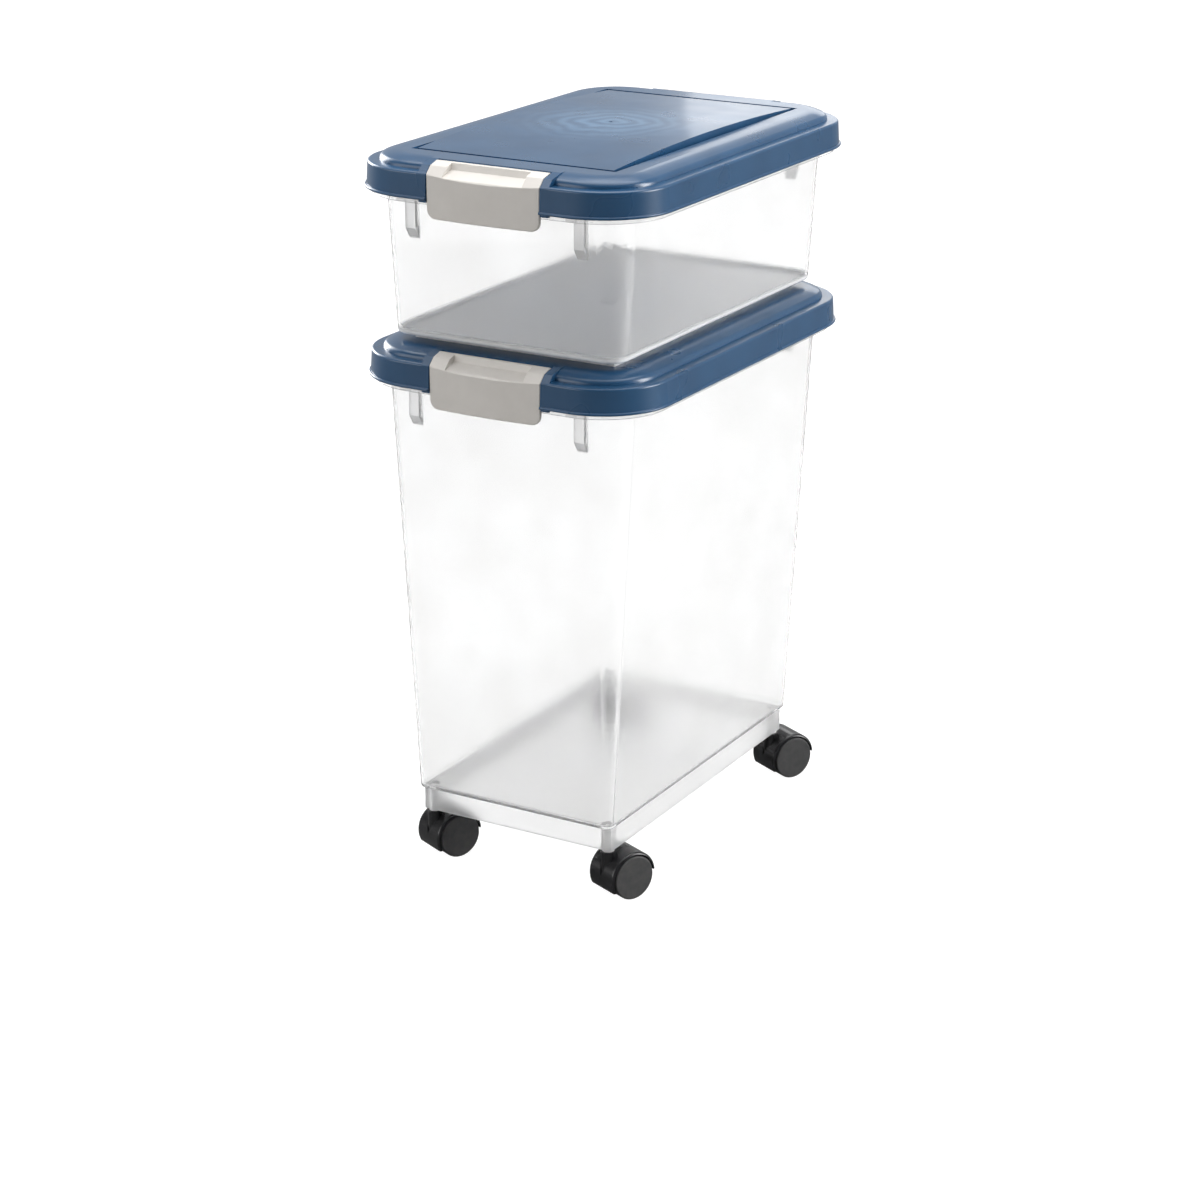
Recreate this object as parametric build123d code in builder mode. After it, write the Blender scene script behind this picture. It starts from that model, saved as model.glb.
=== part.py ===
from build123d import *
import os
from math import cos, radians, sin

# A rolling food bin with a shallow box standing on its lid. Millimetres, +Z up.
# The origin is on the floor under the middle of the bin; the front faces -Y.
# An inset is a distance inwards from the outline of the lid's lip.

os.makedirs("parts", exist_ok=True)

# ---------------------------------------------------------------- driving sizes

# Lid outline, the same on both containers
lid_width = 278.0
lid_length = 419.0
lid_corner_radius = 61.7

# Lid edge, measured down from the flat ring on top
lid_wall = 2.0
lid_depth = 30.4
lip_bead_radius = 1.3
skirt_inset_low = 1.5
skirt_inset_high = 2.8
skirt_top_radius = 2.2
ledge_drop = 8.2
ledge_end_inset = 12.5
shoulder_radius = 5.5
shoulder_turn = 65.0

# Groove and crowned panel in the middle of the lid
groove_inset_x = 43.2
groove_inset_y = 47.7
groove_width = 4.2
groove_depth = 2.0
crown_rise = 4.8
gate_mark_radius = 1.6
gate_mark_depth = 0.6

# Seal under the lid
seal_inset = 15.0
seal_width = 4.6
seal_height = 5.0
seal_gap = 0.1
seal_top_gap = 0.4
seal_rib_wall = 1.6
seal_rib_lift = 1.0
seal_rib_root = 2.8

# Container rim
flange_inset = 6.0
flange_wall = 2.0
rim_below_lip = 4.2

# Container walls
wall = 2.2
wall_inset = 23.0
wall_corner_radius = 25.0
floor_edge_radius = 3.0
rib_spacing = 158.0
rib_width = 9.6
rib_stand_out = 3.8
rib_length = 48.0
rib_point = 9.0

# Large bin
bin_height = 386.0
bin_shrink = 19.4
bin_corner_radius = 6.2
bin_floor = 2.4
skirt_height = 21.4
skirt_setback_x = 2.6
skirt_setback_y = 6.2
skirt_wall = 2.2

# Small box
box_height = 132.4
box_shrink = 7.4
box_corner_radius = 17.5
box_floor = 2.2
box_stand = 5.6
foot_wall = 2.0
foot_side_clearance = 0.7
foot_seat_gap = 0.1

# Latch, with its pivot on the lid and its hook under the container's rim
latch_width = 105.0
latch_wall = 2.2
latch_side_gap = 0.5
latch_depth = 45.0
latch_face_inset = 0.2
latch_bow = 2.5
latch_corner_radius = 8.0
latch_edge_radius = 1.1
latch_slope_inset = 9.5
latch_slope_drop = 3.0
latch_slope_rise = 0.96
pivot_inset = 19.3
pivot_drop = 3.8
barrel_radius = 3.5
pivot_radius = 1.6
pivot_reach = 3.0
running_clearance = 0.05
barrel_gap = 0.5
finger_width = 74.0
finger_setback = 1.8
finger_depth = 6.2
finger_run = 2.2
hook_width = 80.0
hook_overlap = 1.2
hook_drop_gap = 2.2
hook_height = 3.0
latch_back_gap = 0.7
latch_floor_clearance = 0.9
recess_floor_clearance = 1.06

# Pocket in the lid that takes the latch
cheek_width = 7.6
cheek_below_lip = 2.0
housing_reach = 11.0

# Casters
fender_headroom = 2.7
stem_inset = 6.2
wheel_radius = 19.75
wheel_width = 12.9
wheel_side_gap = 0.5
wheel_edge_radius = 1.4
trail = 15.0
web_half_width = 4.6
hood_half_width = 17.3
fender_gap = 1.3
fender_wall = 2.1
fender_edge_radius = 2.4
fender_back_angle = 8.0
fender_front_angle = 207.0
hub_radius = 6.5
neck_radius = 6.6
neck_gap = 0.3
vee_depth = 3.4
vee_half_width = 8.4
vee_foot = 21.5
axle_radius = 2.5
axle_inset = 4.0
stem_radius = 3.2
stem_grip = 13.0
stem_rise = 16.0
stem_chamfer = 0.8
socket_radius = 5.4
socket_drop = 2.0
socket_end_gap = 0.6
snug_clearance = 0.02
casters = {
    "front_left": (-1, -1, -25.0),
    "front_right": (1, -1, -24.0),
    "back_left": (-1, 1, -26.0),
    "back_right": (1, 1, -28.0),
}

# ---------------------------------------------------------------- derived places

half_width = lid_width / 2
half_length = lid_length / 2
rim_outer = half_length - flange_inset

latch_half = latch_width / 2
pocket_half = latch_half + latch_side_gap
cheek_half = pocket_half + cheek_width
pivot_out = half_length - pivot_inset
pocket_back = pivot_out - barrel_radius - barrel_gap
slope_out = half_length - latch_slope_inset
face_out = half_length - latch_face_inset
latch_back_out = rim_outer + latch_back_gap
recess_start = pivot_out + finger_setback
recess_deepest = recess_start + finger_run
recess_end = face_out - latch_bow / 2


def slope_drop_at(out):
    """Drop of the latch's sloping top at a distance out from the middle."""
    return latch_slope_drop + (out - slope_out) * latch_slope_rise


# The pocket clears the finger recess, the seal clears the pocket, and the rim meets the seal
recess_fall = (slope_drop_at(recess_end) - finger_depth) / (recess_end - recess_deepest)
recess_drop_at_rim = finger_depth + recess_fall * (rim_outer - recess_deepest)
pocket_drop = recess_drop_at_rim + latch_wall + recess_floor_clearance
flange_drop = pocket_drop + lid_wall + seal_top_gap + seal_height + seal_gap

mount_height = 2 * wheel_radius + fender_gap + fender_wall + fender_headroom
bin_floor_z = mount_height + skirt_height
bin_flange_z = bin_floor_z + bin_height
bin_ring_z = bin_flange_z + flange_drop
box_floor_z = bin_ring_z + box_stand
box_flange_z = box_floor_z + box_height
box_ring_z = box_flange_z + flange_drop

bin_wall_half_x = half_width - wall_inset - bin_shrink
bin_wall_half_y = half_length - wall_inset - bin_shrink
skirt_half_x = bin_wall_half_x - skirt_setback_x
skirt_half_y = bin_wall_half_y - skirt_setback_y

groove_half_x = half_width - groove_inset_x
groove_half_y = half_length - groove_inset_y
panel_half_x = groove_half_x - groove_width
panel_half_y = groove_half_y - groove_width
foot_half_x = groove_half_x - foot_side_clearance
foot_half_y = groove_half_y - foot_side_clearance

stem_x = skirt_half_x - stem_inset
stem_y = skirt_half_y - stem_inset
neck_top = mount_height - socket_drop - neck_gap
axle_half_length = web_half_width + wheel_side_gap + wheel_width - axle_inset


# ---------------------------------------------------------------- shared shapes


def lid_outline(inset, mode=Mode.ADD):
    """The lid's outline, moved inwards by inset, drawn in the open sketch."""
    across = lid_width - 2 * inset
    along = lid_length - 2 * inset
    RectangleRounded(across, along, lid_corner_radius - inset, mode=mode)


def around_lid(section, ring_z):
    """A section of inset across and height up, carried round the lid's outline."""
    straight_x = half_width - lid_corner_radius
    straight_y = half_length - lid_corner_radius
    long_side = Plane(origin=(half_width, 0, ring_z), x_dir=(-1, 0, 0), z_dir=(0, 1, 0))
    corner = Plane(origin=(half_width, straight_y, ring_z), x_dir=(-1, 0, 0), z_dir=(0, 1, 0))
    short_side = Plane(origin=(straight_x, half_length, ring_z), x_dir=(0, -1, 0), z_dir=(-1, 0, 0))
    with BuildPart() as ring:
        with BuildSketch(long_side):
            add(section)
        extrude(amount=straight_y)
        with BuildSketch(corner):
            add(section)
        revolve(axis=Axis((straight_x, straight_y, ring_z), (0, 0, 1)), revolution_arc=90)
        with BuildSketch(short_side):
            add(section)
        extrude(amount=straight_x)
        mirror(about=Plane.YZ)
        mirror(about=Plane.XZ)
    return ring.part


def side_view(ring_z):
    """Sketch plane seen from the side: across is out towards the front, up is up."""
    return Plane(origin=(0, 0, ring_z), x_dir=(0, -1, 0), z_dir=(-1, 0, 0))


def front_and_back(shape):
    """The front shape and its mirror image at the back."""
    return [shape, mirror(shape, about=Plane.XZ)]


# ---------------------------------------------------------------- lid and seal

steep_rise = shoulder_radius * sin(radians(shoulder_turn))
gentle_turn = 90 - shoulder_turn
gentle_radius = (ledge_drop - steep_rise) / (1 - cos(radians(gentle_turn)))

with BuildSketch() as edge_section:
    with BuildLine() as edge_line:
        skirt = Line((skirt_inset_low, -lid_depth), (skirt_inset_high, -ledge_drop))
        ledge = Line(skirt @ 1, (ledge_end_inset, -ledge_drop))
        fillet(edge_line.vertices().sort_by_distance(skirt @ 1)[0], skirt_top_radius)
        steep = JernArc(ledge @ 1, (0, 1), shoulder_radius, -shoulder_turn)
        gentle = JernArc(steep @ 1, steep % 1, gentle_radius, -gentle_turn)
        Line(gentle @ 1, (gentle @ 1) + Vector(lid_wall, 0))
        offset(amount=lid_wall, side=Side.RIGHT)
    make_face()
    with Locations((lip_bead_radius, lip_bead_radius - lid_depth)):
        Circle(lip_bead_radius)
    for rib_inset in (seal_inset - seal_rib_wall, seal_inset + seal_width):
        rib_top = -ledge_drop if rib_inset < seal_inset else -seal_rib_root
        with BuildLine():
            Polyline(
                (rib_inset, seal_rib_lift - flange_drop),
                (rib_inset + seal_rib_wall, seal_rib_lift - flange_drop),
                (rib_inset + seal_rib_wall, rib_top),
                (rib_inset, rib_top),
                close=True,
            )
        make_face()
ring_start_inset = (gentle @ 1).X

with BuildSketch() as seal_section:
    with Locations((seal_inset + seal_width / 2, seal_gap - flange_drop + seal_height / 2)):
        RectangleRounded(seal_width, seal_height, seal_rib_wall / 2)


def latch_housing(ring_z):
    """Block on the lid's front edge that the latch's pocket is cut into."""
    cheek_out = face_out - latch_bow
    with BuildPart() as housing:
        with BuildSketch(side_view(ring_z)):
            with BuildLine():
                Polyline(
                    (pocket_back - housing_reach, 0),
                    (pocket_back, 0),
                    (slope_out, -latch_slope_drop),
                    (cheek_out, -slope_drop_at(cheek_out)),
                    (cheek_out, -lid_depth - cheek_below_lip),
                    (latch_back_out, -lid_depth - cheek_below_lip),
                    (latch_back_out, -pocket_drop - lid_wall),
                    (pocket_back - lid_wall, -pocket_drop - lid_wall),
                    (pocket_back - lid_wall, -2 * lid_wall),
                    (pocket_back - housing_reach, -lid_wall),
                    close=True,
                )
            make_face()
        extrude(amount=cheek_half, both=True)
        upright = housing.edges().filter_by(Axis.Z).group_by(Axis.Y)[0]
        fillet(upright, lid_wall / 2)
    return housing.part


def latch_pocket(ring_z):
    """Space cut from the lid for the latch, with its two pivot holes."""
    beyond = half_length + wall_inset
    with BuildPart() as pocket:
        with BuildSketch(side_view(ring_z)):
            with BuildLine():
                Polyline(
                    (pocket_back, wall_inset),
                    (beyond, wall_inset),
                    (beyond, -latch_depth),
                    (rim_outer, -latch_depth),
                    (rim_outer, -pocket_drop),
                    (pocket_back, -pocket_drop),
                    close=True,
                )
            make_face()
        extrude(amount=pocket_half, both=True)
        with BuildSketch(side_view(ring_z)):
            with Locations((pivot_out, -pivot_drop)):
                Circle(pivot_radius + running_clearance)
        extrude(amount=latch_half + pivot_reach + latch_side_gap, both=True)
    return pocket.part


def crowned_panel(ring_z, margin, drop, base):
    """Middle panel, arched along its length, shrunk by margin and lowered by drop."""
    end = panel_half_y - margin
    with BuildPart() as panel:
        with BuildSketch(side_view(ring_z)):
            with BuildLine():
                ThreePointArc((-end, -drop), (0, crown_rise - drop), (end, -drop))
                Polyline((end, -drop), (end, -base), (-end, -base), (-end, -drop))
            make_face()
        extrude(amount=panel_half_x - margin, both=True)
    return panel.part


def make_lid(label, ring_z):
    """Lid: hanging edge, flat ring, groove, crowned panel and two latch pockets."""
    floor_drop = groove_depth + lid_wall
    tub_x = 2 * (groove_half_x + lid_wall)
    tub_y = 2 * (groove_half_y + lid_wall)
    with BuildPart() as lid:
        add(around_lid(edge_section.sketch, ring_z))
        with BuildSketch(Plane.XY.offset(ring_z - lid_wall)):
            lid_outline(ring_start_inset + lid_wall / 2)
        extrude(amount=lid_wall)
        with BuildSketch(Plane.XY.offset(ring_z - floor_drop)):
            Rectangle(tub_x, tub_y)
        extrude(amount=floor_drop)
        with BuildSketch(Plane.XY.offset(ring_z - groove_depth)):
            Rectangle(2 * groove_half_x, 2 * groove_half_y)
        extrude(amount=groove_depth, mode=Mode.SUBTRACT)
        add(crowned_panel(ring_z, 0, 0, floor_drop))
        add(crowned_panel(ring_z, lid_wall, lid_wall, lid_depth), mode=Mode.SUBTRACT)
        add(front_and_back(latch_housing(ring_z)))
        add(front_and_back(latch_pocket(ring_z)), mode=Mode.SUBTRACT)
        with BuildSketch(Plane.XY.offset(ring_z + crown_rise - gate_mark_depth)):
            Circle(gate_mark_radius)
        extrude(amount=gate_mark_depth * 2, mode=Mode.SUBTRACT)
    lid.part.label = label
    return lid.part


def make_seal(label, ring_z):
    """Soft seal held between the two ribs under the lid."""
    seal = around_lid(seal_section.sketch, ring_z)
    seal.label = label
    return seal


# ---------------------------------------------------------------- latch


def latch_plan(skin):
    """The latch seen from above, its face bowed outwards, shrunk by a skin."""
    face = face_out - skin
    half = latch_half - skin
    with BuildSketch() as plan:
        with BuildLine():
            ThreePointArc((-half, latch_bow - face), (0, -face), (half, latch_bow - face))
            Polyline((half, latch_bow - face), (half, 0), (-half, 0), (-half, latch_bow - face))
        make_face()
    return plan.sketch


def latch_shell(ring_z, skin):
    """Outer form of the front latch, or the space inside it when skin is its wall."""
    face = face_out - skin
    half = latch_half - skin
    foot = -latch_depth + skin
    with BuildPart() as shell:
        with BuildSketch(side_view(ring_z)):
            with BuildLine():
                Polyline(
                    (pivot_out, -pivot_drop + barrel_radius - skin),
                    (slope_out - skin / 2, -latch_slope_drop - skin),
                    (face, -slope_drop_at(face_out) - skin / 2),
                    (face, foot),
                    (latch_back_out - skin, foot),
                    (latch_back_out - skin, -pocket_drop + latch_floor_clearance - skin),
                    (pivot_out - skin, -pocket_drop + latch_floor_clearance - skin),
                    (pivot_out - skin, -pivot_drop + barrel_radius - skin),
                    close=True,
                )
            make_face()
        extrude(amount=half, both=True)
        with BuildSketch(Plane.XY.offset(ring_z - latch_depth)):
            add(latch_plan(skin))
        extrude(amount=latch_depth, mode=Mode.INTERSECT)
        lower_edges = shell.edges().group_by(Axis.Z)[0]
        corners = lower_edges.group_by(Axis.X)[0] + lower_edges.group_by(Axis.X)[-1]
        fillet(corners, latch_corner_radius - skin)
        if latch_edge_radius > skin:
            ridge = shell.edges().sort_by_distance((0, -slope_out, ring_z - latch_slope_drop))[0]
            beyond_back = -latch_back_out - latch_edge_radius / 2
            outer = shell.edges().filter_by_position(Axis.Y, -half_length, beyond_back)
            fillet([ridge] + outer, latch_edge_radius - skin)
    return shell.part


def finger_space(ring_z, skin):
    """The finger recess in the latch's top, or the same grown by a skin under it."""
    with BuildPart() as space:
        with BuildSketch(side_view(ring_z)):
            with BuildLine():
                Polyline(
                    (recess_start, 0),
                    (recess_deepest, -finger_depth - skin),
                    (recess_end, -slope_drop_at(recess_end) - skin),
                    (recess_end + skin, 0),
                    close=True,
                )
            make_face()
        extrude(amount=finger_width / 2 + skin, both=True)
    return space.part


def make_latch(label, ring_z, at_back):
    """Latch: hollow cover with a finger recess, a hook and two pivot studs."""
    hook_z = ring_z - lid_depth - rim_below_lip - hook_drop_gap
    hook_out = rim_outer - hook_overlap
    with BuildPart() as recess_skin:
        add(latch_shell(ring_z, 0))
        add(finger_space(ring_z, latch_wall), mode=Mode.INTERSECT)
    with BuildPart() as latch:
        add(latch_shell(ring_z, 0))
        add(latch_shell(ring_z, latch_wall), mode=Mode.SUBTRACT)
        add(recess_skin.part)
        with BuildSketch(side_view(ring_z)):
            with Locations((pivot_out, -pivot_drop)):
                Circle(barrel_radius)
        extrude(amount=latch_half, both=True)
        add(finger_space(ring_z, 0), mode=Mode.SUBTRACT)
        with BuildSketch(Plane.XY.offset(hook_z)):
            add(latch_plan(latch_wall / 2))
            Rectangle(latch_width, 2 * hook_out, mode=Mode.SUBTRACT)
            Rectangle(hook_width, lid_length, mode=Mode.INTERSECT)
        extrude(amount=-hook_height)
        with BuildSketch(side_view(ring_z)):
            with Locations((pivot_out, -pivot_drop)):
                Circle(pivot_radius)
        extrude(amount=latch_half + pivot_reach, both=True)
    part = latch.part
    if at_back:
        part = mirror(part, about=Plane.XZ)
    part.label = label
    return part


# ---------------------------------------------------------------- containers


def tapered_tub(base_z, height, shrink, low_radius, skin):
    """Solid between the floor and the rim of a container, with skin taken off its sides."""
    low_inset = wall_inset + shrink + skin
    high_inset = wall_inset + skin
    with BuildPart() as tub:
        with BuildSketch(Plane.XY.offset(base_z)):
            RectangleRounded(lid_width - 2 * low_inset, lid_length - 2 * low_inset, low_radius - skin)
        with BuildSketch(Plane.XY.offset(base_z + height)):
            RectangleRounded(
                lid_width - 2 * high_inset, lid_length - 2 * high_inset, wall_corner_radius - skin
            )
        loft(ruled=True)
        fillet(tub.faces().sort_by(Axis.Z)[0].edges(), floor_edge_radius - skin / 2)
    return tub.part


def stiffening_ribs(flange_z):
    """Two short pointed ribs under the rim on the front wall."""
    outer = half_length - wall_inset + rib_stand_out
    root = half_length - wall_inset - wall
    with BuildPart() as ribs:
        for side in (-1, 1):
            with BuildSketch(side_view(flange_z).offset(side * rib_spacing / 2)):
                with BuildLine():
                    Polyline(
                        (root, -flange_wall / 2),
                        (outer, -flange_wall / 2),
                        (outer, rib_point - rib_length),
                        (root, -rib_length),
                        close=True,
                    )
                make_face()
            extrude(amount=rib_width / 2, both=True)
    return ribs.part


def make_container(floor_z, height, shrink, low_radius, floor):
    """Open container: tapered walls, floor, ribs and a rim turned down all round."""
    flange_z = floor_z + height
    rim_height = lid_depth - flange_drop + rim_below_lip
    with BuildPart() as body:
        add(tapered_tub(floor_z, height, shrink, low_radius, 0))
        add(front_and_back(stiffening_ribs(flange_z)))
        with BuildSketch(Plane.XY.offset(flange_z - flange_wall)):
            lid_outline(flange_inset)
        extrude(amount=flange_wall)
        with BuildSketch(Plane.XY.offset(flange_z - rim_height)):
            lid_outline(flange_inset)
            lid_outline(flange_inset + flange_wall, mode=Mode.SUBTRACT)
        extrude(amount=rim_height)
        hollow = tapered_tub(floor_z + floor, height - floor, shrink, low_radius, wall)
        add(hollow, mode=Mode.SUBTRACT)
    return body.part


def make_bin_body():
    """Large bin: container on a deep square-cornered skirt with four caster sockets."""
    boss_low = mount_height - socket_drop
    with BuildPart() as body:
        add(make_container(bin_floor_z, bin_height, bin_shrink, bin_corner_radius, bin_floor))
        with BuildSketch(Plane.XY.offset(mount_height)):
            Rectangle(2 * skirt_half_x, 2 * skirt_half_y)
            Rectangle(
                2 * (skirt_half_x - skirt_wall), 2 * (skirt_half_y - skirt_wall), mode=Mode.SUBTRACT
            )
        extrude(amount=skirt_height + bin_floor / 2)
        with BuildSketch(Plane.XY.offset(boss_low)):
            with GridLocations(2 * stem_x, 2 * stem_y, 2, 2):
                Circle(socket_radius)
        extrude(amount=bin_floor_z + bin_floor / 2 - boss_low)
        with BuildSketch(Plane.XY.offset(boss_low)):
            with GridLocations(2 * stem_x, 2 * stem_y, 2, 2):
                Circle(stem_radius + running_clearance)
        extrude(amount=socket_drop + stem_rise + socket_end_gap, mode=Mode.SUBTRACT)
    body.part.label = "bin_body"
    return body.part


def make_box_body():
    """Small box: container on a low foot that drops into the groove of the lid below."""
    foot_z = bin_ring_z - groove_depth + foot_seat_gap
    with BuildPart() as body:
        add(make_container(box_floor_z, box_height, box_shrink, box_corner_radius, box_floor))
        with BuildSketch(Plane.XY.offset(foot_z)):
            Rectangle(2 * foot_half_x, 2 * foot_half_y)
            Rectangle(
                2 * (foot_half_x - foot_wall), 2 * (foot_half_y - foot_wall), mode=Mode.SUBTRACT
            )
        extrude(amount=box_floor_z + box_floor / 2 - foot_z)
    body.part.label = "box_body"
    return body.part


# ---------------------------------------------------------------- casters


class CasterFrame:
    """Planes of one caster: its stem's place and the way its wheels trail."""

    def __init__(self, x, y, turn):
        self.x = x
        self.y = y
        self.axle_dir = (cos(radians(turn)), sin(radians(turn)), 0)
        self.trail_dir = (-sin(radians(turn)), cos(radians(turn)), 0)

    def side(self, offset=0.0):
        """Seen along the axle: across is the trailing way, up is up."""
        plane = Plane(origin=(self.x, self.y, 0), x_dir=self.trail_dir, z_dir=self.axle_dir)
        return plane.offset(offset)

    def top(self, height):
        """Seen from above at a height."""
        return Plane(origin=(self.x, self.y, height), x_dir=self.axle_dir, z_dir=(0, 0, 1))

    def front(self, offset):
        """Seen from the stem's side: across is along the axle, up is up."""
        z_dir = (-self.trail_dir[0], -self.trail_dir[1], 0)
        plane = Plane(origin=(self.x, self.y, 0), x_dir=self.axle_dir, z_dir=z_dir)
        return plane.offset(offset)


def make_hood(label, at):
    """Fender over both wheels, with the web between them, the neck and the hub."""
    well_radius = wheel_radius + fender_gap
    fender_radius = well_radius + fender_wall
    back = radians(fender_back_angle)
    front = radians(fender_front_angle)
    far = 2 * fender_radius
    with BuildPart() as hood:
        with BuildSketch(at.side()):
            with Locations((trail, wheel_radius)):
                Circle(fender_radius)
        extrude(amount=hood_half_width, both=True)
        fillet(hood.edges().filter_by(GeomType.CIRCLE), fender_edge_radius)
        with BuildSketch(at.front(fender_radius - trail - vee_depth)):
            with BuildLine():
                Polyline(
                    (0, vee_foot),
                    (vee_half_width, neck_top),
                    (-vee_half_width, neck_top),
                    close=True,
                )
            make_face()
        extrude(amount=far, mode=Mode.SUBTRACT)
        with BuildSketch(at.top(vee_foot)):
            Circle(neck_radius)
        extrude(amount=neck_top - vee_foot)
        with BuildSketch(at.side()):
            with BuildLine():
                Polyline(
                    (trail + fender_radius * cos(back), wheel_radius + fender_radius * sin(back)),
                    (trail + far, wheel_radius),
                    (trail + far, -far),
                    (trail - far, -far),
                    (trail - far, wheel_radius + fender_radius * sin(front)),
                    (trail + fender_radius * cos(front), wheel_radius + fender_radius * sin(front)),
                    close=True,
                )
            make_face()
        extrude(amount=hood_half_width, both=True, mode=Mode.SUBTRACT)
        for side in (-1, 1):
            with BuildSketch(at.side(side * web_half_width)):
                with Locations((trail, wheel_radius)):
                    Circle(well_radius)
            extrude(amount=side * hood_half_width, mode=Mode.SUBTRACT)
        with BuildSketch(at.side()):
            with Locations((trail, wheel_radius)):
                Circle(hub_radius)
        extrude(amount=web_half_width, both=True)
        with BuildSketch(at.top(neck_top)):
            Circle(stem_radius + snug_clearance)
        extrude(amount=-stem_grip, mode=Mode.SUBTRACT)
        with BuildSketch(at.side()):
            with Locations((trail, wheel_radius)):
                Circle(axle_radius + snug_clearance)
        extrude(amount=web_half_width, both=True, mode=Mode.SUBTRACT)
    hood.part.label = label
    return hood.part


def make_stem(label, at):
    """Steel stem: fixed in the neck, free to turn in the bin's socket."""
    with BuildPart() as stem:
        with BuildSketch(at.top(neck_top - stem_grip)):
            Circle(stem_radius)
        extrude(amount=mount_height + stem_rise - neck_top + stem_grip)
        chamfer(stem.edges().group_by(Axis.Z)[-1], stem_chamfer)
    stem.part.label = label
    return stem.part


def make_axle(label, at):
    """Steel axle through the web, a wheel on each end."""
    with BuildPart() as axle:
        with BuildSketch(at.side()):
            with Locations((trail, wheel_radius)):
                Circle(axle_radius)
        extrude(amount=axle_half_length, both=True)
    axle.part.label = label
    return axle.part


def make_wheel(label, at, side):
    """Plain disc wheel with a closed outer face and a blind bore for the axle."""
    inner_face = web_half_width + wheel_side_gap
    bore_depth = axle_half_length - inner_face + socket_end_gap
    with BuildPart() as wheel:
        with BuildSketch(at.side(side * inner_face)):
            with Locations((trail, wheel_radius)):
                Circle(wheel_radius)
        extrude(amount=side * wheel_width)
        fillet(wheel.edges().filter_by(GeomType.CIRCLE), wheel_edge_radius)
        with BuildSketch(at.side(side * inner_face)):
            with Locations((trail, wheel_radius)):
                Circle(axle_radius + running_clearance)
        extrude(amount=side * bore_depth, mode=Mode.SUBTRACT)
    wheel.part.label = label
    return wheel.part


# ---------------------------------------------------------------- build the pieces

pieces = [
    make_bin_body(),
    make_lid("bin_lid", bin_ring_z),
    make_seal("bin_seal", bin_ring_z),
    make_latch("bin_latch_front", bin_ring_z, at_back=False),
    make_latch("bin_latch_back", bin_ring_z, at_back=True),
    make_box_body(),
    make_lid("box_lid", box_ring_z),
    make_seal("box_seal", box_ring_z),
    make_latch("box_latch_front", box_ring_z, at_back=False),
    make_latch("box_latch_back", box_ring_z, at_back=True),
]
for corner, (side_x, side_y, turn) in casters.items():
    at = CasterFrame(side_x * stem_x, side_y * stem_y, turn)
    pieces.append(make_hood(f"{corner}_caster_hood", at))
    pieces.append(make_stem(f"{corner}_caster_stem", at))
    pieces.append(make_axle(f"{corner}_caster_axle", at))
    pieces.append(make_wheel(f"{corner}_wheel_left", at, -1))
    pieces.append(make_wheel(f"{corner}_wheel_right", at, 1))

for piece in pieces:
    export_step(piece, f"parts/{piece.label}.step")
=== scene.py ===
from math import radians

import bmesh
import bpy
from mathutils import Matrix, Vector


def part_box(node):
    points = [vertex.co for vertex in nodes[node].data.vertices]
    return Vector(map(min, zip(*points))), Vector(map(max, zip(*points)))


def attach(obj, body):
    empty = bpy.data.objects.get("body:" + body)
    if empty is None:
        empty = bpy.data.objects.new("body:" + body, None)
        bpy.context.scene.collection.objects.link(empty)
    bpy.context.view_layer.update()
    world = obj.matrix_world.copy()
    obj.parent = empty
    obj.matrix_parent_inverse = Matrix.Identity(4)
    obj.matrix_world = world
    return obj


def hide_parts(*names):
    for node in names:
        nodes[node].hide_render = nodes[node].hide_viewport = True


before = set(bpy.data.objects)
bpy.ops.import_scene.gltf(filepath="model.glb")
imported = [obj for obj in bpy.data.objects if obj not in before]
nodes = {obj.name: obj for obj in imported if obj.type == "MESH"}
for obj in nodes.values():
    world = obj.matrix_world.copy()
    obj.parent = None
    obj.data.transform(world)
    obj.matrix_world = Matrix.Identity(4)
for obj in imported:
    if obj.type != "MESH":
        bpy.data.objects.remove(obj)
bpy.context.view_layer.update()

# A rolling food bin with a shallow clear box standing on its lid. Metres, +Z up, front -Y.
MM = 0.001
scene = bpy.context.scene


# ---------------------------------------------------------------- node helpers


def add_node(tree, kind, inputs=None, **settings):
    """Adds a node, sets it up, and sets or links its inputs by name or number."""
    node = tree.nodes.new(kind)
    for name, value in settings.items():
        setattr(node, name, value)
    for name, value in (inputs or {}).items():
        if isinstance(value, bpy.types.NodeSocket):
            tree.links.new(value, node.inputs[name])
        else:
            node.inputs[name].default_value = value
    return node


def calc(tree, operation, first, second=0.0):
    """Result of one sum on one or two values."""
    return add_node(tree, "ShaderNodeMath", {0: first, 1: second}, operation=operation).outputs[0]


def remap(tree, value, from_low, from_high, to_low, to_high, smooth=False):
    """A value carried from one range to another, held at the ends."""
    node = add_node(
        tree,
        "ShaderNodeMapRange",
        {0: value, 1: from_low, 2: from_high, 3: to_low, 4: to_high},
        interpolation_type="SMOOTHSTEP" if smooth else "LINEAR",
    )
    return node.outputs[0]


def toward(tree, start, end, share):
    """A value moved from start toward end by a share from 0 to 1."""
    step = calc(tree, "MULTIPLY", calc(tree, "SUBTRACT", end, start), share)
    return calc(tree, "ADD", start, step)


# ---------------------------------------------------------------- places on the containers

BIN_FLOOR_TOP = 69.4 * MM
BOX_FLOOR_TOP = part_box("box_body")[0].z + 9.7 * MM
# half the width and half the length of each floor
BIN_FLOOR_HALF = (96.6 * MM, 167.1 * MM)
BOX_FLOOR_HALF = (108.6 * MM, 179.1 * MM)
BIN_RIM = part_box("bin_body")[1].z
BOX_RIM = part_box("box_body")[1].z

# ribs under the rims, on the front and back walls
RIB_OFFSET = 79 * MM
RIB_HALF_WIDTH = 5 * MM
RIB_ROOT = 182 * MM
RIB_DROP = 48 * MM

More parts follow.
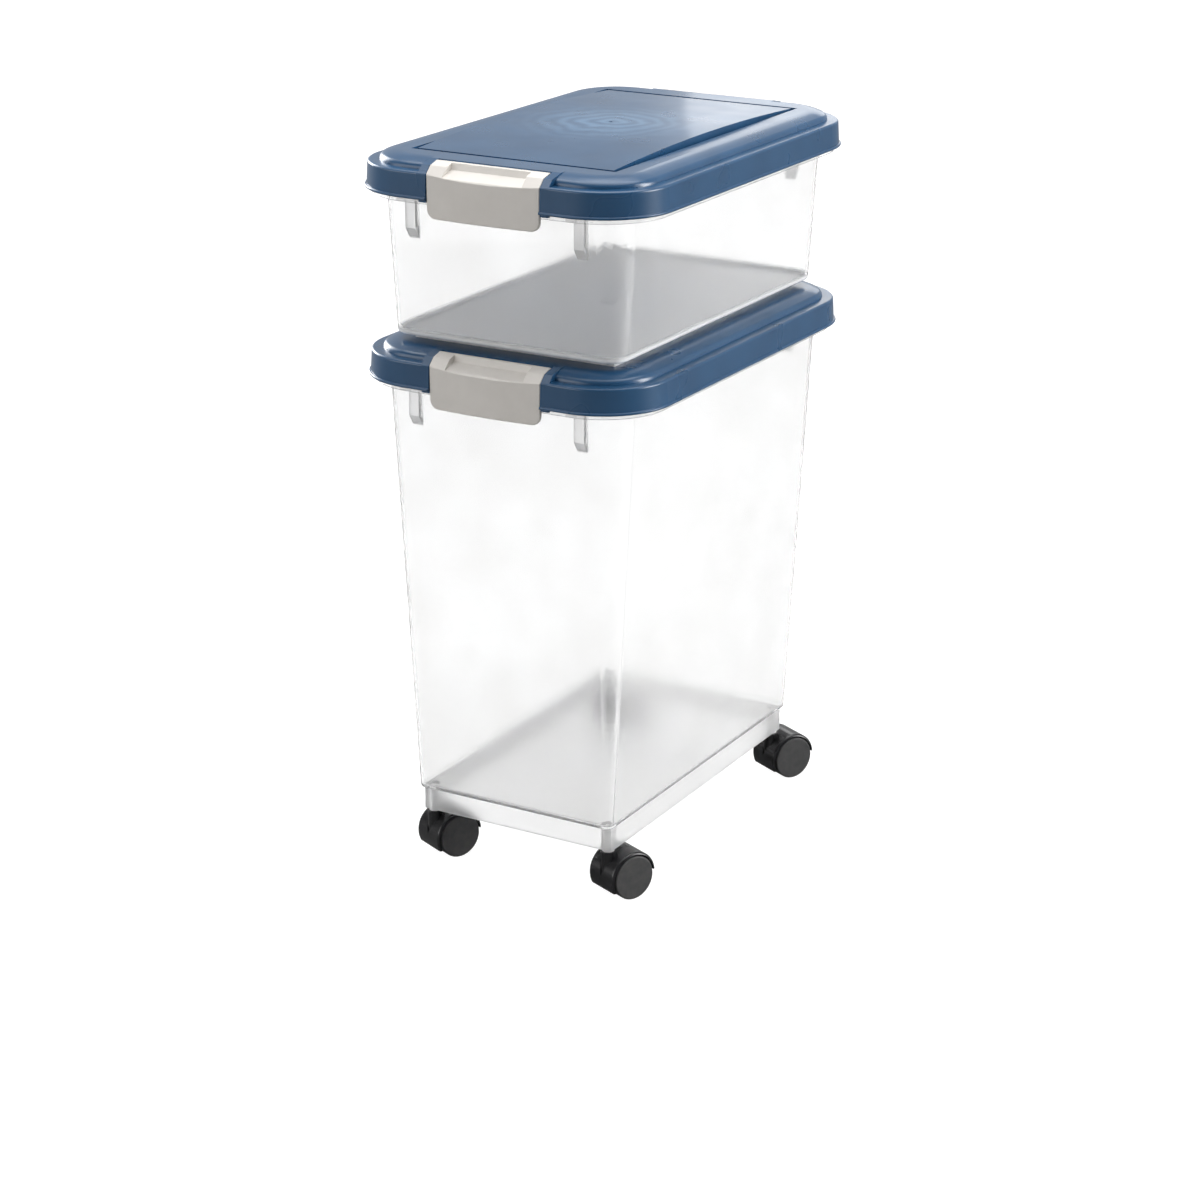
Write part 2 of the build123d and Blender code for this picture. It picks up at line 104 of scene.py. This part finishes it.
# lids: the ring's height over the latch's lower edge, and the panel's crown over the ring
LATCH_BELOW_RING = 45 * MM
CROWN_RISE = 4.8 * MM
BIN_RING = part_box("bin_latch_front")[0].z + LATCH_BELOW_RING
BOX_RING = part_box("box_latch_front")[0].z + LATCH_BELOW_RING


# ---------------------------------------------------------------- finishes


class Finish:
    """One material on Object coordinates, with shared patterns to build it from."""

    def __init__(self, name):
        self.material = bpy.data.materials.new(name)
        self.material.use_nodes = True
        self.tree = self.material.node_tree
        self.shader = self.tree.nodes["Principled BSDF"]
        self.place = add_node(self.tree, "ShaderNodeTexCoord").outputs["Object"]

    def stretched(self, scale, middle=(0, 0, 0)):
        """Object coordinates moved to a middle and stretched along the axes."""
        moved = add_node(
            self.tree, "ShaderNodeMapping", {"Vector": self.place, "Location": middle}, vector_type="TEXTURE"
        )
        return add_node(
            self.tree, "ShaderNodeVectorMath", {0: moved.outputs[0], 1: scale}, operation="MULTIPLY"
        ).outputs[0]

    def noise(self, size, detail=3.0, rough=0.5, vector=None):
        """Cloudy pattern with blotches about size metres across."""
        noise = add_node(
            self.tree,
            "ShaderNodeTexNoise",
            {"Vector": vector or self.place, "Scale": 1 / size, "Detail": detail, "Roughness": rough},
        )
        return noise.outputs["Fac"]

    def tint(self, share, first, second):
        """Colour between two tones, by a share from 0 to 1."""
        mix = add_node(self.tree, "ShaderNodeMix", data_type="RGBA")
        sockets = {s.identifier: s for s in mix.inputs}
        for key, value in (("Factor_Float", share), ("A_Color", first), ("B_Color", second)):
            if isinstance(value, bpy.types.NodeSocket):
                self.tree.links.new(value, sockets[key])
            else:
                sockets[key].default_value = value
        return next(s for s in mix.outputs if s.identifier == "Result_Color")

    def relief(self, *layers):
        """Bump from (height, depth in metres) layers, one on top of another."""
        normal = None
        for height, depth in layers:
            inputs = {"Height": height, "Distance": depth, "Strength": 1.0}
            if normal:
                inputs["Normal"] = normal
            normal = add_node(self.tree, "ShaderNodeBump", inputs).outputs[0]
        self.set("Normal", normal)

    def set(self, name, value):
        """Sets or links one of the shader's inputs."""
        if isinstance(value, bpy.types.NodeSocket):
            self.tree.links.new(value, self.shader.inputs[name])
        else:
            self.shader.inputs[name].default_value = value


def navy_lid_plastic(name, gate_height):
    """Satin navy moulding, with pale flow rings round its gate mark."""
    f = Finish(name)
    clouds = remap(f.tree, f.noise(45 * MM, 1, 0.4), 0.3, 0.7, 0, 1)
    body = f.tint(clouds, (0.014, 0.070, 0.162, 1), (0.018, 0.084, 0.190, 1))

    from_gate = f.stretched((1, 1, 1), (0, 0, gate_height))
    reach = add_node(f.tree, "ShaderNodeVectorMath", {0: from_gate}, operation="LENGTH").outputs["Value"]
    near = remap(f.tree, reach, 10 * MM, 95 * MM, 1, 0, smooth=True)
    rings = add_node(
        f.tree,
        "ShaderNodeTexWave",
        {
            "Vector": from_gate,
            "Scale": 20.0,
            "Distortion": 7.0,
            "Detail": 2.0,
            "Detail Scale": 1.2,
            "Detail Roughness": 0.5,
        },
        wave_type="RINGS",
        rings_direction="SPHERICAL",
        wave_profile="SIN",
    ).outputs["Fac"]
    paler = remap(f.tree, rings, 0, 1, 0.3, 1.0)
    f.set("Base Color", f.tint(calc(f.tree, "MULTIPLY", paler, near), body, (0.10, 0.21, 0.36, 1)))
    f.set("Roughness", remap(f.tree, f.noise(35 * MM, 1, 0.4), 0.3, 0.7, 0.27, 0.32))
    f.set("IOR", 1.5)
    f.set("Coat Weight", 0.35)
    f.set("Coat Roughness", 0.1)
    f.relief((f.noise(1.1 * MM, 2, 0.5), 0.001 * MM), (f.noise(45 * MM, 1, 0.4), 0.08 * MM))
    return f.material


def warm_grey_plastic():
    """Satin warm-grey moulding of the latches, lightly spark-eroded."""
    f = Finish("warm_grey_latch_plastic")
    clouds = remap(f.tree, f.noise(22 * MM, 4, 0.55), 0.3, 0.7, 0, 1)
    f.set("Base Color", f.tint(clouds, (0.77, 0.735, 0.69, 1), (0.82, 0.785, 0.74, 1)))
    f.set("Roughness", remap(f.tree, f.noise(20 * MM, 1, 0.4), 0.3, 0.7, 0.36, 0.42))
    f.set("IOR", 1.49)
    f.relief((f.noise(0.7 * MM, 2, 0.5), 0.012 * MM), (f.noise(25 * MM, 1, 0.4), 0.1 * MM))
    return f.material


def clear_plastic(name, floor_top, floor_half, rim_height, milk, frost):
    """Frosted clear moulding: light passes its thin walls, while floor, skirt and ribs are milkier."""
    f = Finish(name)
    tree = f.tree
    split = add_node(tree, "ShaderNodeSeparateXYZ", {0: f.place}).outputs
    across = calc(tree, "ABSOLUTE", split["X"])
    along = calc(tree, "ABSOLUTE", split["Y"])
    height = split["Z"]
    drift = f.noise(90 * MM, 3, 0.5)

    # where the floor, its outer edge, the skirt below it and the ribs are: 1 inside, 0 outside
    at_floor = remap(tree, height, floor_top + 0.3 * MM, floor_top + 5 * MM, 1, 0, smooth=True)
    below_floor = remap(tree, height, floor_top - 4 * MM, floor_top - 2 * MM, 1, 0)
    past_side = calc(tree, "SUBTRACT", across, floor_half[0])
    past_end = calc(tree, "SUBTRACT", along, floor_half[1])
    outward = calc(tree, "MAXIMUM", past_side, past_end)
    floor_edge = remap(tree, outward, -5.5 * MM, -1.5 * MM, 0, 1, smooth=True)
    off_rib = calc(tree, "ABSOLUTE", calc(tree, "SUBTRACT", across, RIB_OFFSET))
    in_rib = remap(tree, off_rib, RIB_HALF_WIDTH - 0.3 * MM, RIB_HALF_WIDTH + 0.3 * MM, 1, 0)
    on_end_wall = remap(tree, along, RIB_ROOT - 1 * MM, RIB_ROOT, 0, 1)
    rib_foot = rim_height - RIB_DROP
    under_rim = remap(tree, height, rib_foot - 2 * MM, rib_foot + 2 * MM, 0, 1)
    rib = calc(tree, "MULTIPLY", calc(tree, "MULTIPLY", in_rib, on_end_wall), under_rim)

    walls = remap(tree, drift, 0.3, 0.7, milk["wall"] * 0.8, milk["wall"] * 1.2)
    floor_here = remap(tree, floor_edge, 0, 1, milk["floor"], milk["edge"])
    cloudy = toward(tree, walls, floor_here, at_floor)
    cloudy = toward(tree, cloudy, milk["edge"], below_floor)
    cloudy = toward(tree, cloudy, milk["rib"], rib)
    f.set("Transmission Weight", calc(tree, "SUBTRACT", 1.0, cloudy))
    f.set("Base Color", f.tint(drift, (0.965, 0.97, 0.975, 1), (0.985, 0.98, 0.975, 1)))
    haze = remap(tree, f.noise(50 * MM, 1, 0.4), 0.3, 0.7, frost, frost + 0.03)
    hazy = calc(tree, "ADD", calc(tree, "MAXIMUM", at_floor, rib), below_floor)
    f.set("Roughness", toward(tree, haze, 0.24, hazy))
    f.set("IOR", 1.4)
    f.relief((f.noise(1.6 * MM, 2, 0.5), 0.003 * MM))
    return f.material


def black_hood_plastic():
    """Glossy black moulding of the caster hoods, with faint flow marks."""
    f = Finish("black_hood_plastic")
    clouds = f.noise(14 * MM, 4, 0.6)
    f.set("Base Color", f.tint(clouds, (0.010, 0.010, 0.011, 1), (0.020, 0.020, 0.022, 1)))
    f.set("Roughness", remap(f.tree, f.noise(12 * MM, 1, 0.4), 0.3, 0.7, 0.15, 0.22))
    f.set("IOR", 1.5)
    f.relief((f.noise(9 * MM, 2, 0.5), 0.05 * MM), (f.noise(0.5 * MM, 2, 0.5), 0.003 * MM))
    return f.material


def wheel_plastic():
    """Matt dark wheel moulding with fine grain and dusty patches."""
    f = Finish("matt_wheel_plastic")
    dust = f.noise(7 * MM, 5, 0.65)
    dusty = remap(f.tree, dust, 0.35, 0.7, 0, 1)
    f.set("Base Color", f.tint(dusty, (0.040, 0.040, 0.042, 1), (0.066, 0.065, 0.064, 1)))
    f.set("Roughness", remap(f.tree, dust, 0.3, 0.7, 0.48, 0.66))
    f.relief((f.noise(0.5 * MM, 3, 0.6), 0.02 * MM))
    return f.material


def brushed_steel():
    """Turned steel of the stems and axles: fine lines round the pin."""
    f = Finish("turned_caster_steel")
    lines = f.noise(0.35 * MM, 3, 0.6, f.stretched((0.12, 0.12, 1)))
    f.set("Metallic", 1.0)
    f.set("Base Color", f.tint(lines, (0.50, 0.50, 0.51, 1), (0.68, 0.68, 0.67, 1)))
    f.set("Roughness", remap(f.tree, lines, 0.3, 0.7, 0.22, 0.4))
    f.relief((lines, 0.004 * MM))
    return f.material


def seal_rubber():
    """Soft pale silicone of the lid seals."""
    f = Finish("pale_seal_rubber")
    clouds = f.noise(12 * MM, 4, 0.6)
    f.set("Base Color", f.tint(clouds, (0.66, 0.66, 0.65, 1), (0.78, 0.78, 0.77, 1)))
    f.set("Roughness", remap(f.tree, clouds, 0.3, 0.7, 0.5, 0.68))
    f.relief((f.noise(0.8 * MM, 3, 0.6), 0.02 * MM))
    return f.material


# ---------------------------------------------------------------- finish of each CAD node

lid_finish = {
    "bin_lid": navy_lid_plastic("navy_bin_lid_plastic", BIN_RING + CROWN_RISE),
    "box_lid": navy_lid_plastic("navy_box_lid_plastic", BOX_RING + CROWN_RISE),
}
latch_finish = warm_grey_plastic()
bin_clear = clear_plastic(
    "frosted_bin_plastic",
    BIN_FLOOR_TOP,
    BIN_FLOOR_HALF,
    BIN_RIM,
    milk={"wall": 0.13, "floor": 0.07, "edge": 0.2, "rib": 0.3},
    frost=0.12,
)
box_clear = clear_plastic(
    "frosted_box_plastic",
    BOX_FLOOR_TOP,
    BOX_FLOOR_HALF,
    BOX_RIM,
    milk={"wall": 0.11, "floor": 0.88, "edge": 1.0, "rib": 0.3},
    frost=0.07,
)
hood_finish = black_hood_plastic()
wheel_finish = wheel_plastic()
steel_finish = brushed_steel()
seal_finish = seal_rubber()


def dress(node, material):
    """Gives a CAD node's material slots one finish."""
    for slot in node.material_slots:
        slot.material = material


for name, node in nodes.items():
    if name in lid_finish:
        dress(node, lid_finish[name])
    elif "latch" in name:
        dress(node, latch_finish)
    elif name == "bin_body":
        dress(node, bin_clear)
    elif name == "box_body":
        dress(node, box_clear)
    elif name.endswith("hood"):
        dress(node, hood_finish)
    elif "wheel" in name:
        dress(node, wheel_finish)
    elif "seal" in name:
        dress(node, seal_finish)
    else:
        dress(node, steel_finish)


# ---------------------------------------------------------------- pieces made by node trees


def node_tree(name, sizes):
    """An empty geometry tree with named size inputs and one material input."""
    tree = bpy.data.node_groups.new(name, "GeometryNodeTree")
    for size in sizes:
        kind = "NodeSocketInt" if size.startswith("Count") else "NodeSocketFloat"
        tree.interface.new_socket(size, in_out="INPUT", socket_type=kind)
    tree.interface.new_socket("Material", in_out="INPUT", socket_type="NodeSocketMaterial")
    tree.interface.new_socket("Geometry", in_out="OUTPUT", socket_type="NodeSocketGeometry")
    given = tree.nodes.new("NodeGroupInput").outputs
    return tree, given


def close_tree(tree, geometry, material):
    """Ends a tree with real meshes, smooth faces and their material."""
    real = add_node(tree, "GeometryNodeRealizeInstances", {0: geometry})
    smooth = add_node(tree, "GeometryNodeSetShadeSmooth", {0: real.outputs[0]})
    dressed = add_node(tree, "GeometryNodeSetMaterial", {0: smooth.outputs[0], "Material": material})
    tree.links.new(dressed.outputs[0], tree.nodes.new("NodeGroupOutput").inputs[0])


def plain_piece(name, tree, values, height=0.0):
    """Runs a tree with its inputs set, and keeps the result as a plain mesh at a height."""
    holder = bpy.data.objects.new(name + "_holder", bpy.data.meshes.new(name + "_holder"))
    scene.collection.objects.link(holder)
    modifier = holder.modifiers.new("shape", "NODES")
    modifier.node_group = tree
    for item in tree.interface.items_tree:
        if item.in_out == "INPUT" and item.name in values:
            modifier[item.identifier] = values[item.name]
    depsgraph = bpy.context.evaluated_depsgraph_get()
    mesh = bpy.data.meshes.new_from_object(holder.evaluated_get(depsgraph))
    bpy.data.objects.remove(holder)
    mesh.name = name
    mesh.transform(Matrix.Translation((0, 0, height)))
    build = bmesh.new()
    build.from_mesh(mesh)
    bmesh.ops.remove_doubles(build, verts=build.verts, dist=1e-6)
    bmesh.ops.recalc_face_normals(build, faces=build.faces)
    build.to_mesh(mesh)
    build.free()
    piece = bpy.data.objects.new(name, mesh)
    scene.collection.objects.link(piece)
    return piece


SECTION_SQUARENESS = 0.45
SECTION_WAIST = 0.62


def waisted_section(tree, width, height):
    """Closed section with a lip at each corner and a narrower waist between them."""
    ring = add_node(tree, "GeometryNodeCurvePrimitiveCircle", {"Resolution": 36, "Radius": 1.0})
    place = add_node(tree, "GeometryNodeInputPosition").outputs[0]
    split = add_node(tree, "ShaderNodeSeparateXYZ", {0: place})

    def squared(value):
        size = calc(tree, "POWER", calc(tree, "ABSOLUTE", value), SECTION_SQUARENESS)
        return calc(tree, "MULTIPLY", size, calc(tree, "SIGN", value))

    across, up = squared(split.outputs[0]), squared(split.outputs[1])
    waist = remap(tree, calc(tree, "ABSOLUTE", up), 0.0, 0.9, SECTION_WAIST, 1.0)
    x = calc(tree, "MULTIPLY", calc(tree, "MULTIPLY", across, waist), calc(tree, "MULTIPLY", width, 0.5))
    y = calc(tree, "MULTIPLY", up, calc(tree, "MULTIPLY", height, 0.5))
    moved = add_node(tree, "ShaderNodeCombineXYZ", {0: x, 1: y})
    return add_node(
        tree, "GeometryNodeSetPosition", {"Geometry": ring.outputs[0], "Position": moved.outputs[0]}
    ).outputs[0]


def seal_tree():
    """Lipped sealing strip swept round a rounded rectangle."""
    tree, given = node_tree(
        "lipped_seal", ("Length", "Width", "Corner radius", "Strip width", "Strip height")
    )
    outline = add_node(
        tree,
        "GeometryNodeCurvePrimitiveQuadrilateral",
        {
            0: calc(tree, "SUBTRACT", given["Width"], given["Strip width"]),
            1: calc(tree, "SUBTRACT", given["Length"], given["Strip width"]),
        },
        mode="RECTANGLE",
    )
    rounded = add_node(
        tree,
        "GeometryNodeFilletCurve",
        {"Curve": outline.outputs[0], "Radius": given["Corner radius"], "Count": 24},
        mode="POLY",
    )
    upright = add_node(tree, "GeometryNodeSetCurveNormal", {0: rounded.outputs[0]}, mode="Z_UP")
    swept = add_node(
        tree,
        "GeometryNodeCurveToMesh",
        {
            "Curve": upright.outputs[0],
            "Profile Curve": waisted_section(tree, given["Strip width"], given["Strip height"]),
        },
    )
    close_tree(tree, swept.outputs[0], given["Material"])
    return tree


def moulding_ring_tree():
    """Fine raised rings round a gate mark, spaced evenly outwards."""
    tree, given = node_tree("gate_rings", ("Count", "First radius", "Spacing", "Thickness"))
    ring = add_node(tree, "GeometryNodeCurvePrimitiveCircle", {"Resolution": 72, "Radius": 1.0})
    index = add_node(tree, "GeometryNodeInputIndex").outputs[0]
    radius = calc(tree, "MULTIPLY_ADD", index, given["Spacing"])
    tree.links.new(given["First radius"], radius.node.inputs[2])
    spots = add_node(tree, "GeometryNodePoints", {"Count": given["Count"]})
    circles = add_node(
        tree,
        "GeometryNodeInstanceOnPoints",
        {"Points": spots.outputs[0], "Instance": ring.outputs[0], "Scale": radius},
    )
    real = add_node(tree, "GeometryNodeRealizeInstances", {0: circles.outputs[0]})
    section = add_node(
        tree, "GeometryNodeCurvePrimitiveCircle", {"Resolution": 10, "Radius": given["Thickness"]}
    )
    swept = add_node(
        tree, "GeometryNodeCurveToMesh", {"Curve": real.outputs[0], "Profile Curve": section.outputs[0]}
    )
    close_tree(tree, swept.outputs[0], given["Material"])
    return tree


SEAL_CORNER = 44.4 * MM
SEAL_WIDTH = 4.6 * MM
RING_SIZES = {"Count": 2, "First radius": 5.5 * MM, "Spacing": 4 * MM, "Thickness": 0.35 * MM}
RINGS_ABOVE_FLOOR = 0.2 * MM

lipped_seal = seal_tree()
for container in ("bin", "box"):
    node = f"{container}_seal"
    low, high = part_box(node)
    strip = plain_piece(
        f"{container}_lipped_seal",
        lipped_seal,
        {
            "Length": high.y - low.y,
            "Width": high.x - low.x,
            "Corner radius": SEAL_CORNER,
            "Strip width": SEAL_WIDTH,
            "Strip height": high.z - low.z,
            "Material": seal_finish,
        },
        (low.z + high.z) / 2,
    )
    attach(strip, f"{container}_lid")
    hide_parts(node)

gate_rings = moulding_ring_tree()
for container, floor_top, finish in (("bin", BIN_FLOOR_TOP, bin_clear), ("box", BOX_FLOOR_TOP, box_clear)):
    rings = plain_piece(
        f"{container}_floor_gate_rings",
        gate_rings,
        {**RING_SIZES, "Material": finish},
        floor_top + RINGS_ABOVE_FLOOR,
    )
    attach(rings, container)


# ---------------------------------------------------------------- floor, light and camera

FLOOR_HALF = 40
# the paper glows for the camera and through the clear walls, so it looks white and shadowless
FLOOR_GLOW_SEEN = 0.97
FLOOR_GLOW_THROUGH_WALLS = 1.1

floor_mesh = bpy.data.meshes.new("studio_floor")
build = bmesh.new()
bmesh.ops.create_grid(build, x_segments=1, y_segments=1, size=FLOOR_HALF)
build.to_mesh(floor_mesh)
build.free()
studio_floor = bpy.data.objects.new("studio_floor", floor_mesh)
scene.collection.objects.link(studio_floor)
floor_finish = Finish("pale_paper")
mottle = floor_finish.noise(0.4, 3)
floor_finish.set("Base Color", floor_finish.tint(mottle, (0.20, 0.20, 0.20, 1), (0.22, 0.22, 0.22, 1)))
rays = add_node(floor_finish.tree, "ShaderNodeLightPath").outputs
seen = calc(floor_finish.tree, "MULTIPLY", rays["Is Camera Ray"], FLOOR_GLOW_SEEN)
through = calc(floor_finish.tree, "MULTIPLY", rays["Is Transmission Ray"], FLOOR_GLOW_THROUGH_WALLS)
floor_finish.set("Emission Color", (1, 1, 1, 1))
floor_finish.set("Emission Strength", calc(floor_finish.tree, "ADD", seen, through))
floor_finish.set("Roughness", 0.9)
floor_finish.set("Specular IOR Level", 0.1)
floor_mesh.materials.append(floor_finish.material)


# brightness of each part of the surround
GLOW_ABOVE = 2.6
GLOW_ABOVE_FRONT = 0.35
GLOW_IN_FRONT, GLOW_BEHIND = 0.1, 0.5
GLOW_RIGHT, GLOW_LEFT = 15.0, 17.0
GLOW_FRONT_LEFT = 2.2


def studio_world():
    """Soft studio surround: brightest beside and behind, bright above, a little at the front left."""
    world = bpy.data.worlds.new("studio_surround")
    world.use_nodes = True
    tree = world.node_tree
    way = add_node(tree, "ShaderNodeTexCoord").outputs["Generated"]
    split = add_node(tree, "ShaderNodeSeparateXYZ", {0: way}).outputs
    x, y, z = split["X"], split["Y"], split["Z"]

    behind = remap(tree, y, -0.3, 0.8, GLOW_IN_FRONT, GLOW_BEHIND, smooth=True)
    right = remap(tree, x, 0.68, 0.95, 0, GLOW_RIGHT, smooth=True)
    left = remap(tree, x, -0.95, -0.7, GLOW_LEFT, 0, smooth=True)
    not_in_front = remap(tree, y, 0.0, 0.45, 0, 1, smooth=True)
    beside = calc(tree, "MULTIPLY", calc(tree, "ADD", right, left), not_in_front)
    facing_front_left = calc(tree, "ADD", calc(tree, "MULTIPLY", x, -0.6), calc(tree, "MULTIPLY", y, -0.8))
    front_left = remap(tree, facing_front_left, 0.75, 0.97, 0, GLOW_FRONT_LEFT, smooth=True)
    around = calc(tree, "ADD", calc(tree, "ADD", behind, beside), front_left)

    overhead = remap(tree, z, 0.72, 0.84, 0, 1, smooth=True)
    less_in_front = remap(tree, y, -0.5, 0.1, GLOW_ABOVE_FRONT, 1, smooth=True)
    glow = toward(tree, around, GLOW_ABOVE, calc(tree, "MULTIPLY", overhead, less_in_front))
    surround = tree.nodes["Background"]
    surround.inputs["Color"].default_value = (1, 1, 1, 1)
    tree.links.new(glow, surround.inputs["Strength"])
    scene.world = world


def soft_light(name, place, target, size, power):
    """Rectangular softbox at a place, aimed at a target."""
    lamp = bpy.data.lights.new(name, "AREA")
    lamp.shape = "RECTANGLE"
    lamp.size, lamp.size_y = size
    lamp.energy = power
    holder = bpy.data.objects.new(name, lamp)
    scene.collection.objects.link(holder)
    holder.location = place
    holder.rotation_euler = (Vector(target) - Vector(place)).to_track_quat("-Z", "Y").to_euler()
    holder.visible_camera = False


studio_world()
soft_light("overhead_softbox", place=(-0.4, 0.3, 2.6), target=(0, 0, 0.3), size=(2.4, 2.4), power=12)
soft_light("back_softbox", place=(-0.75, 2.5, 1.15), target=(0.05, 0.1, 0.6), size=(0.9, 0.7), power=3)

CAMERA_PLACE = Vector((1.2236, -2.1683, 1.0960))
CAMERA_TARGET = Vector((-0.0091, 0.0, 0.2054))
CAMERA_ROLL = radians(0.19)
SENSOR_WIDTH = 36
FOCAL_LENGTH = 88.8
lens = bpy.data.cameras.new("studio_camera")
lens.sensor_width = SENSOR_WIDTH
lens.lens = FOCAL_LENGTH
lens.clip_end = 200
camera = bpy.data.objects.new("studio_camera", lens)
scene.collection.objects.link(camera)
facing = (CAMERA_TARGET - CAMERA_PLACE).to_track_quat("-Z", "Y").to_matrix().to_4x4()
camera.matrix_world = Matrix.Translation(CAMERA_PLACE) @ facing @ Matrix.Rotation(CAMERA_ROLL, 4, "Z")
scene.camera = camera
scene.view_settings.view_transform = "Standard"
